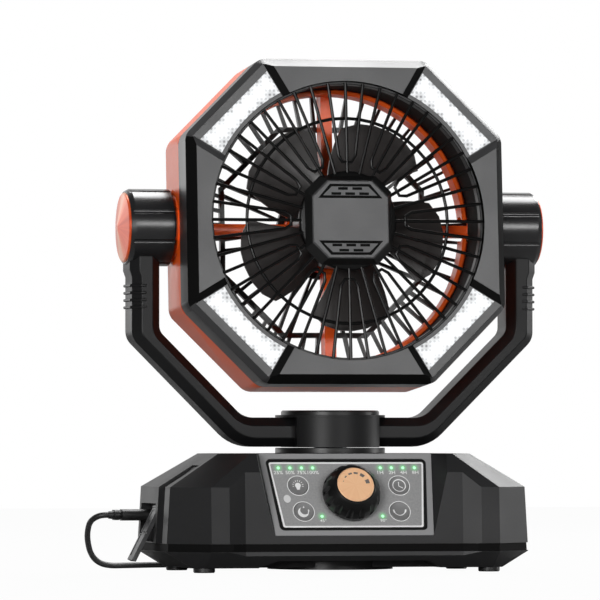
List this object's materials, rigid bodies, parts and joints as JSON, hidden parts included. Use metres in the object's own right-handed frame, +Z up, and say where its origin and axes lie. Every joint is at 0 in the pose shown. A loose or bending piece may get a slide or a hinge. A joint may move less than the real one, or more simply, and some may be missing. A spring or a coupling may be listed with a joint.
{
  "type": "portable fan",
  "caption": "Tabletop fan with an octagonal head and corner lamps, tilting in a yoke that swings on a wide battery base with a sloping knob and button panel.",
  "frame": {"origin": "floor under the swivel's axis, in the middle of the base", "axes": "+Z up, -Y towards the control panel and the air's outlet, +X to the right seen from the front"},
  "size_m": [0.2766, 0.186, 0.3079],
  "materials": {
    "housing": "fine grained",
    "panel_grey": "smooth satin",
    "orange": "satin",
    "black_plastic": "satin",
    "blade": "satin",
    "soft_black": "matt",
    "knob_metal": "spun satin",
    "badge": "satin",
    "lens": "dotted prism",
    "dark_lens": "polished",
    "board": "soldered",
    "component": "moulded",
    "bright_metal": "plated",
    "steel": "zinc plated",
    "motor": "satin",
    "cell": "sleeved"
  },
  "bodies": {
    "base": {"base_lower_shell": "housing", "base_upper_shell": "housing", "rubber_feet": "soft_black", "base_screws": "steel", "panel_frame": "panel_grey", "panel_overlay": "panel_grey", "receiver_window": "dark_lens", "panel_lights": "lens", "control_board": "board", "button_switches": "component", "knob_encoder": "bright_metal", "battery_cells": "cell", "battery_holder": "black_plastic", "charge_socket": "bright_metal", "output_socket": "bright_metal", "port_board": "board", "swing_gearmotor": "motor", "swivel_collar": "black_plastic", "hook_plate": "black_plastic", "hook_pin": "steel", "plate_screws": "steel", "flap_pin": "steel", "charge_plug": "soft_black", "charge_cable": "soft_black", "cable_coil": "soft_black", "cable_tie": "soft_black", "usb_plug": "soft_black"},
    "hook": {"hanging_hook": "black_plastic"},
    "flap": {"port_flap": "soft_black"},
    "knob": {"knob_grip": "black_plastic", "knob_cap": "knob_metal", "knob_shaft": "steel"},
    "button_light": {"light_button": "panel_grey"},
    "button_night": {"night_button": "panel_grey"},
    "button_timer": {"timer_button": "panel_grey"},
    "button_swing": {"swing_button": "panel_grey"},
    "yoke": {"yoke_frame": "housing", "swivel_hub": "housing", "hub_cap": "black_plastic", "swivel_shaft": "steel", "left_pivot_housing": "housing", "right_pivot_housing": "housing", "left_pivot_cap": "orange", "right_pivot_cap": "orange"},
    "head": {"head_bezel": "housing", "head_shroud": "orange", "light_lenses": "lens", "light_boards": "board", "front_grille": "black_plastic", "grille_badge": "badge", "rear_guard": "black_plastic", "fan_motor": "motor", "left_trunnion": "steel", "right_trunnion": "steel", "head_screws": "steel"},
    "rotor": {"impeller": "blade", "fan_shaft": "steel"}
  },
  "joints": [
    {"name": "yoke_swivel", "type": "hinge", "parent": "base", "child": "yoke", "pos_m": [0, 0, 0.08], "axis": [0, 0, 1], "range_deg": [-45, 45]},
    {"name": "head_tilt", "type": "hinge", "parent": "yoke", "child": "head", "pos_m": [0, 0, 0.207], "axis": [1, 0, 0], "range_deg": [-90, 90]},
    {"name": "rotor_spin", "type": "hinge", "parent": "head", "child": "rotor", "pos_m": [0, 0, 0.207], "axis": [0, -0.9966, 0.0819], "continuous": true},
    {"name": "knob_turn", "type": "hinge", "parent": "base", "child": "knob", "pos_m": [0, -0.04995, 0.04578], "axis": [0, -0.891, 0.454], "range_deg": [-270, 0]},
    {"name": "light_press", "type": "slide", "parent": "base", "child": "button_light", "axis": [0, 0.891, -0.454], "range_m": [0, 0.0009], "stiffness_N_per_m": 400, "springref_m": -0.0009},
    {"name": "night_press", "type": "slide", "parent": "base", "child": "button_night", "axis": [0, 0.891, -0.454], "range_m": [0, 0.0009], "stiffness_N_per_m": 400, "springref_m": -0.0009},
    {"name": "timer_press", "type": "slide", "parent": "base", "child": "button_timer", "axis": [0, 0.891, -0.454], "range_m": [0, 0.0009], "stiffness_N_per_m": 400, "springref_m": -0.0009},
    {"name": "swing_press", "type": "slide", "parent": "base", "child": "button_swing", "axis": [0, 0.891, -0.454], "range_m": [0, 0.0009], "stiffness_N_per_m": 400, "springref_m": -0.0009},
    {"name": "flap_swing", "type": "hinge", "parent": "base", "child": "flap", "pos_m": [-0.107, -0.0015, 0.0388], "axis": [0, 1, 0], "range_deg": [-10, 75]},
    {"name": "hook_swing", "type": "hinge", "parent": "base", "child": "hook", "pos_m": [0, 0.024, 0.0036], "axis": [1, 0, 0], "range_deg": [0, 100]}
  ]
}
